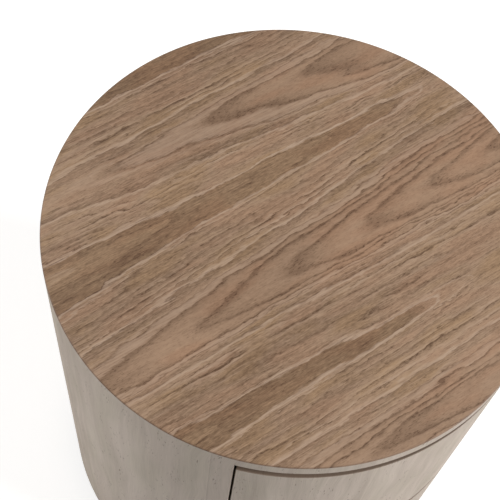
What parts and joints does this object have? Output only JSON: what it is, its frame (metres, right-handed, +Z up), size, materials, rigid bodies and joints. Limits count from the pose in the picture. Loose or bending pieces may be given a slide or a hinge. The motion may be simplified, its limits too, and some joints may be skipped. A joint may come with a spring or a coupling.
{
  "type": "nightstand",
  "caption": "Round drum nightstand with a flush veneered top, bent shell and bowed handle-less drawers on telescopic slides.",
  "frame": {"origin": "on the floor, under the drum's axis", "axes": "+Z up, drawers face -Y, +X to the right of someone facing +Y"},
  "size_m": [0.55, 0.55, 0.6],
  "materials": {
    "brown_veneer": "satin flat-cut brown veneer",
    "greige_veneer": "satin grey-beige washed veneer",
    "greige_board": "satin foil",
    "fibreboard": "raw board",
    "plinth_lacquer": "matt dark lacquer",
    "beech": "raw planed",
    "drawer_wood": "clear lacquered solid wood",
    "drawer_ply": "clear lacquered plywood",
    "zinc_steel": "bright zinc",
    "zinc_screw": "bright zinc",
    "ball_steel": "polished",
    "nylon": "matt"
  },
  "bodies": {
    "carcass": {"side_shell": "greige_veneer", "top_veneer_board": "brown_veneer", "top_panel": "fibreboard", "bottom_panel": "fibreboard", "inner_side_left": "greige_board", "inner_side_right": "greige_board", "divider_shelf": "greige_board", "side_rib_left": "fibreboard", "side_rib_right": "fibreboard", "plinth_ring": "plinth_lacquer", "plinth_blocks": "beech", "floor_glides": "nylon", "cabinet_slide_screws": "zinc_screw", "upper_slide_cabinet_left": "zinc_steel", "upper_slide_cabinet_right": "zinc_steel", "lower_slide_cabinet_left": "zinc_steel", "lower_slide_cabinet_right": "zinc_steel"},
    "upper_drawer": {"upper_drawer_front": "greige_veneer", "upper_drawer_side_left": "drawer_wood", "upper_drawer_side_right": "drawer_wood", "upper_drawer_back": "drawer_wood", "upper_drawer_bottom": "drawer_ply", "upper_slide_drawer_left": "zinc_steel", "upper_slide_drawer_right": "zinc_steel", "upper_drawer_slide_screws": "zinc_screw"},
    "upper_slide_middles": {"upper_slide_middle_left": "zinc_steel", "upper_slide_middle_right": "zinc_steel"},
    "upper_outer_cages": {"upper_outer_ball_rows": "ball_steel"},
    "upper_inner_cages": {"upper_inner_ball_rows": "ball_steel"},
    "lower_drawer": {"lower_drawer_front": "greige_veneer", "lower_drawer_side_left": "drawer_wood", "lower_drawer_side_right": "drawer_wood", "lower_drawer_back": "drawer_wood", "lower_drawer_bottom": "drawer_ply", "lower_slide_drawer_left": "zinc_steel", "lower_slide_drawer_right": "zinc_steel", "lower_drawer_slide_screws": "zinc_screw"},
    "lower_slide_middles": {"lower_slide_middle_left": "zinc_steel", "lower_slide_middle_right": "zinc_steel"},
    "lower_outer_cages": {"lower_outer_ball_rows": "ball_steel"},
    "lower_inner_cages": {"lower_inner_ball_rows": "ball_steel"}
  },
  "joints": [
    {"name": "upper_drawer_slide", "type": "slide", "parent": "carcass", "child": "upper_drawer", "axis": [0, -1, 0], "range_m": [0, 0.29]},
    {"name": "upper_middle_slide", "type": "slide", "parent": "carcass", "child": "upper_slide_middles", "axis": [0, -1, 0], "range_m": [0, 0.145]},
    {"name": "upper_outer_cage_slide", "type": "slide", "parent": "carcass", "child": "upper_outer_cages", "axis": [0, -1, 0], "range_m": [0, 0.0725]},
    {"name": "upper_inner_cage_slide", "type": "slide", "parent": "carcass", "child": "upper_inner_cages", "axis": [0, -1, 0], "range_m": [0, 0.2175]},
    {"name": "lower_drawer_slide", "type": "slide", "parent": "carcass", "child": "lower_drawer", "axis": [0, -1, 0], "range_m": [0, 0.29]},
    {"name": "lower_middle_slide", "type": "slide", "parent": "carcass", "child": "lower_slide_middles", "axis": [0, -1, 0], "range_m": [0, 0.145]},
    {"name": "lower_outer_cage_slide", "type": "slide", "parent": "carcass", "child": "lower_outer_cages", "axis": [0, -1, 0], "range_m": [0, 0.0725]},
    {"name": "lower_inner_cage_slide", "type": "slide", "parent": "carcass", "child": "lower_inner_cages", "axis": [0, -1, 0], "range_m": [0, 0.2175]}
  ],
  "couplings": [
    {"joint": "upper_middle_slide", "follows": "upper_drawer_slide", "ratio": 0.5},
    {"joint": "upper_outer_cage_slide", "follows": "upper_drawer_slide", "ratio": 0.25},
    {"joint": "upper_inner_cage_slide", "follows": "upper_drawer_slide", "ratio": 0.75},
    {"joint": "lower_middle_slide", "follows": "lower_drawer_slide", "ratio": 0.5},
    {"joint": "lower_outer_cage_slide", "follows": "lower_drawer_slide", "ratio": 0.25},
    {"joint": "lower_inner_cage_slide", "follows": "lower_drawer_slide", "ratio": 0.75}
  ]
}
